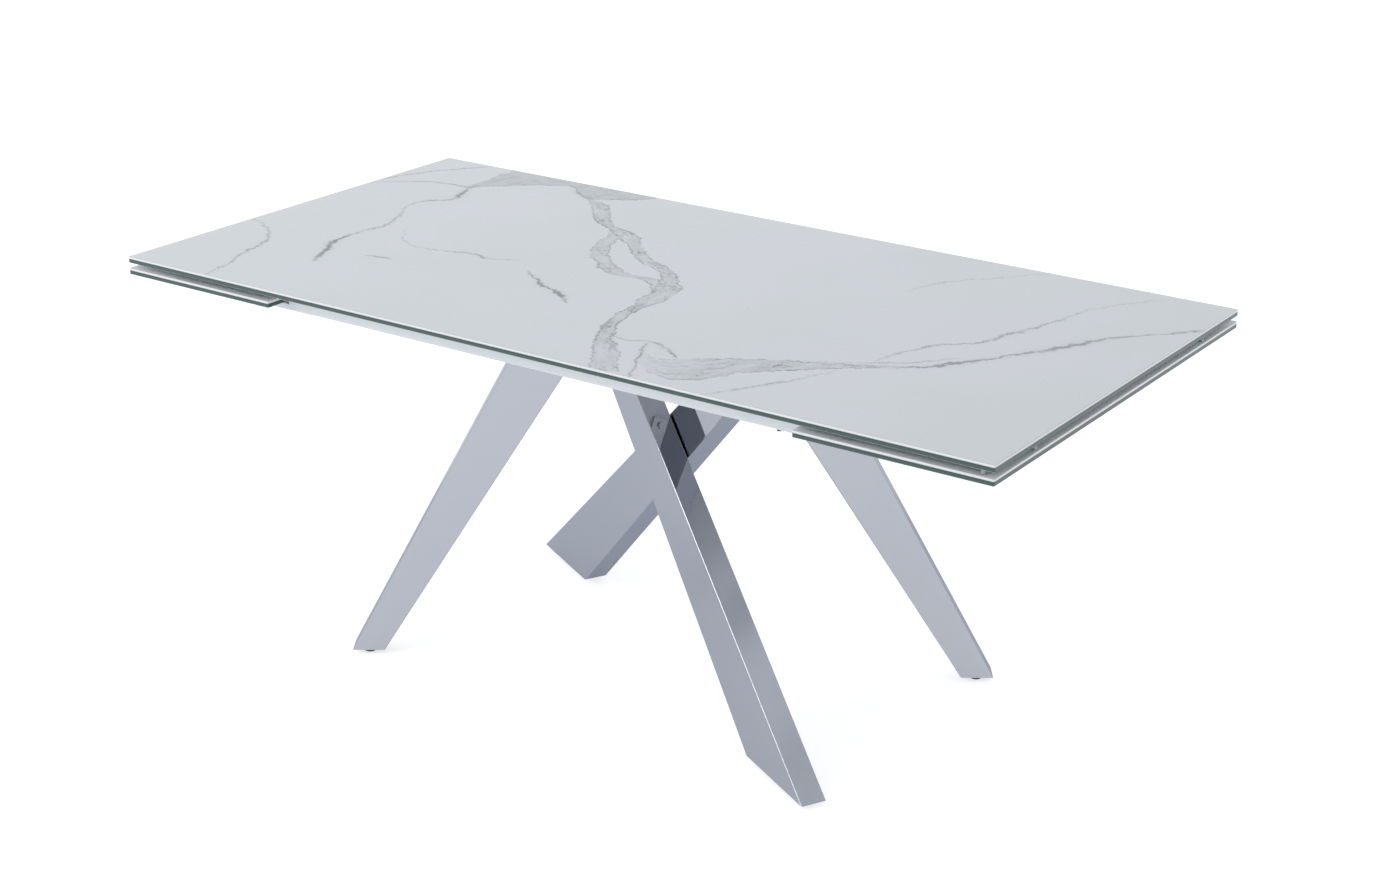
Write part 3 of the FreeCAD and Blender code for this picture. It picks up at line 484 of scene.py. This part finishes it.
def painted(name, colour, other, rough):
    """Powder coat: orange peel and a slight change of tone."""
    made, nodes = material(name)
    flat = nodes.place()
    tone = nodes.mix(nodes.noise(flat, 4.0, 3.0), colour, other)
    gloss = nodes.step(nodes.noise(flat, 90.0, 3.0), 0.3, 0.7, rough - 0.05, rough + 0.05)
    relief = nodes.bump(nodes.noise(flat, 700.0, 2.0), 0.00006)
    finish_surface(nodes, Base_Color=tone, Roughness=gloss, Normal=relief, IOR=1.5)
    return made


def metal(name, colour, other, rough, grain, scratch):
    """Bare metal with a drawn or machined grain: grain is how the pattern is stretched on X, Y and Z."""
    made, nodes = material(name)
    flat = nodes.place()
    lines = nodes.noise(nodes.stretched(flat, *grain), 40.0, 5.0, 0.65)
    tone = nodes.mix(nodes.noise(flat, 30.0, 4.0, 0.6), colour, other)
    gloss = nodes.step(lines, 0.25, 0.75, rough - 0.08, rough + 0.10)
    relief = nodes.bump(lines, scratch)
    finish_surface(nodes, Base_Color=tone, Metallic=1.0, Roughness=gloss, Normal=relief)
    return made


def plastic(name, colour, other, rough, **more):
    """Moulded plastic with a fine matt texture."""
    made, nodes = material(name)
    flat = nodes.place()
    tone = nodes.mix(nodes.noise(flat, 60.0, 3.0), colour, other)
    gloss = nodes.step(nodes.noise(flat, 200.0, 3.0), 0.3, 0.7, rough - 0.06, rough + 0.06)
    relief = nodes.bump(nodes.noise(flat, 1800.0, 2.0), 0.00003)
    finish_surface(nodes, Base_Color=tone, Roughness=gloss, Normal=relief, **more)
    return made


# Powder coats: two tones and the roughness.
PAINTS = {
    "frame_paint": ((0.525, 0.545, 0.57, 1.0), (0.555, 0.575, 0.60, 1.0), 0.35),
    "runner_steel": ((0.50, 0.52, 0.55, 1.0), (0.54, 0.56, 0.58, 1.0), 0.38),
}
# Bare metals: two tones, the roughness, how the grain is stretched, and the depth of a scratch in metres.
METALS = {
    "track_aluminium": ((0.66, 0.67, 0.69, 1.0), (0.72, 0.73, 0.75, 1.0), 0.32, (0.3, 20.0, 20.0), 0.00003),
    "aluminium": ((0.70, 0.71, 0.72, 1.0), (0.76, 0.77, 0.78, 1.0), 0.28, (12.0, 12.0, 12.0), 0.00003),
    "zinc_steel": ((0.42, 0.43, 0.46, 1.0), (0.56, 0.57, 0.58, 1.0), 0.30, (6.0, 6.0, 6.0), 0.00004),
    "spring_steel": ((0.30, 0.31, 0.33, 1.0), (0.38, 0.39, 0.41, 1.0), 0.30, (1.0, 14.0, 14.0), 0.00003),
}
DARK_SCREW = ((0.045, 0.045, 0.050, 1.0), (0.070, 0.070, 0.075, 1.0), 0.40, (6.0, 6.0, 6.0), 0.00003)
# Plastics: two tones and the roughness.
PLASTICS = {
    "nylon": ((0.80, 0.78, 0.72, 1.0), (0.84, 0.82, 0.77, 1.0), 0.42),
    "bond_pad": ((0.80, 0.80, 0.80, 1.0), (0.74, 0.74, 0.75, 1.0), 0.60),
    "black_plastic": ((0.018, 0.018, 0.021, 1.0), (0.028, 0.028, 0.031, 1.0), 0.40),
}
CLEAR_POLYMER = ((0.42, 0.46, 0.46, 1.0), (0.36, 0.40, 0.40, 1.0), 0.32)


def make_materials():
    """A finish for each of the record's material slots."""
    low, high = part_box("left_leaf_glass")
    finishes = {
        "marble_ceramic": ceramic_leaf(),
        "edge_glass": glass("edge_glass", low.z, high.z),
        "clear_polymer": plastic("clear_polymer", *CLEAR_POLYMER, Transmission_Weight=0.35, IOR=1.45),
        "chrome": chrome(),
    }
    for make, recipes in ((painted, PAINTS), (metal, METALS), (plastic, PLASTICS)):
        for name, recipe in recipes.items():
            finishes[name] = make(name, *recipe)
    return finishes


def dress_nodes():
    """The finish of each node's slot, and the three nodes that have their own."""
    finishes = make_materials()
    nodes = frame["nodes"]
    for node in nodes.values():
        for slot in node.material_slots:
            slot.material = finishes[slot.material.name.split(".")[0]]
    low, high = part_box("top_glass")
    nodes["top_ceramic"].material_slots[0].material = ceramic_top()
    nodes["end_block_screws"].material_slots[0].material = metal("dark_screw", *DARK_SCREW)
    nodes["top_glass"].material_slots[0].material = glass("top_edge_glass", low.z, high.z)


make_camera()
make_floor()
make_sky()
make_lights()
dress_nodes()
